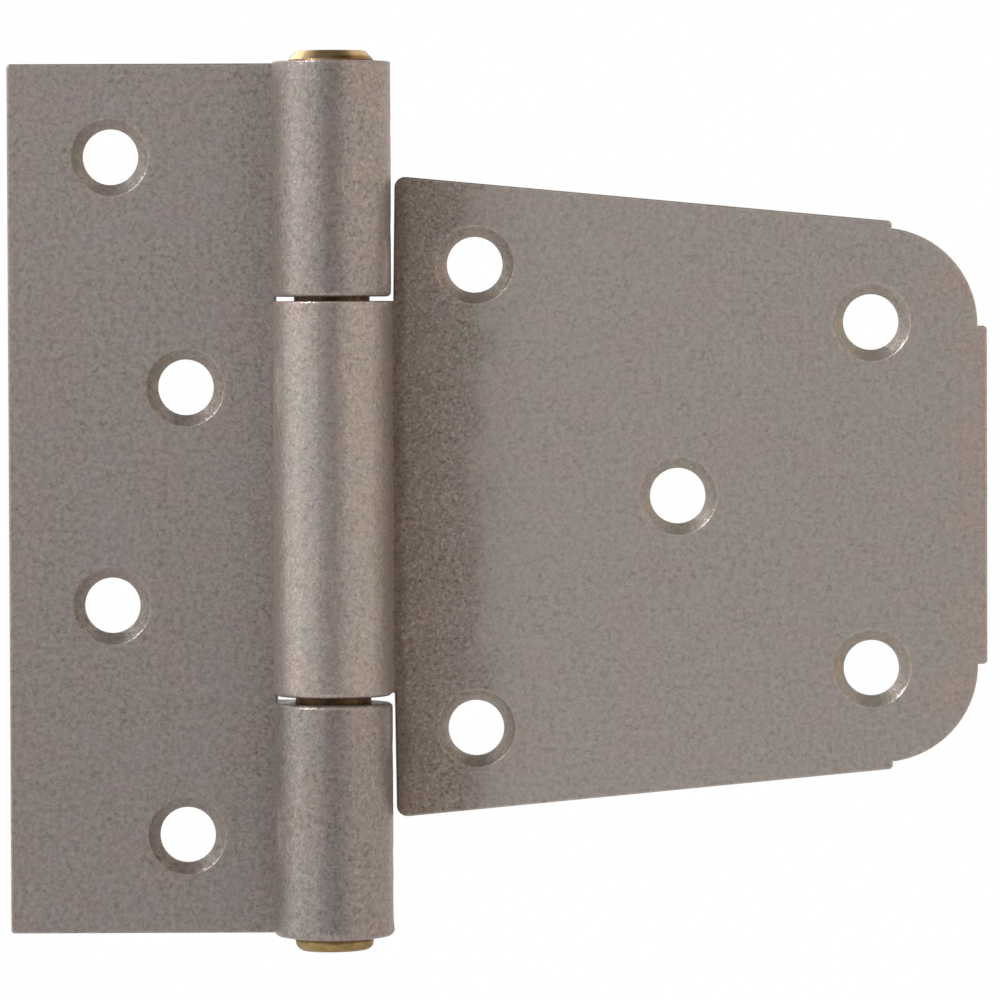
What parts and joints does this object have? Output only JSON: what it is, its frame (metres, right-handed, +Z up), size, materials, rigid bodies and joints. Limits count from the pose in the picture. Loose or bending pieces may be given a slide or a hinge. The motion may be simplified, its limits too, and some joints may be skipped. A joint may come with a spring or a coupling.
{
  "type": "t hinge",
  "caption": "Gate T hinge of rolled sheet steel: a tall post leaf and a tapered gate leaf, countersunk for screws, turning on a headed, riveted pin.",
  "frame": {"origin": "on the mounting plane (the backs of both leaves), directly behind the pin's axis and halfway up the gate leaf", "axes": "+X from the pin towards the gate leaf, +Y into the post and gate that the leaves are screwed to, +Z up the pin"},
  "size_m": [0.1, 0.0121, 0.0915],
  "materials": {
    "galvanised_steel": "matt, mottled zinc coating",
    "plated_pin": "satin, brass-coloured plating"
  },
  "bodies": {
    "post": {"post_leaf": "galvanised_steel", "hinge_pin": "plated_pin"},
    "gate": {"gate_leaf": "galvanised_steel"}
  },
  "joints": [
    {"name": "gate_swing", "type": "hinge", "parent": "post", "child": "gate", "pos_m": [0, -0.00605, 0], "axis": [0, 0, -1], "range_deg": [-85, 192]}
  ]
}
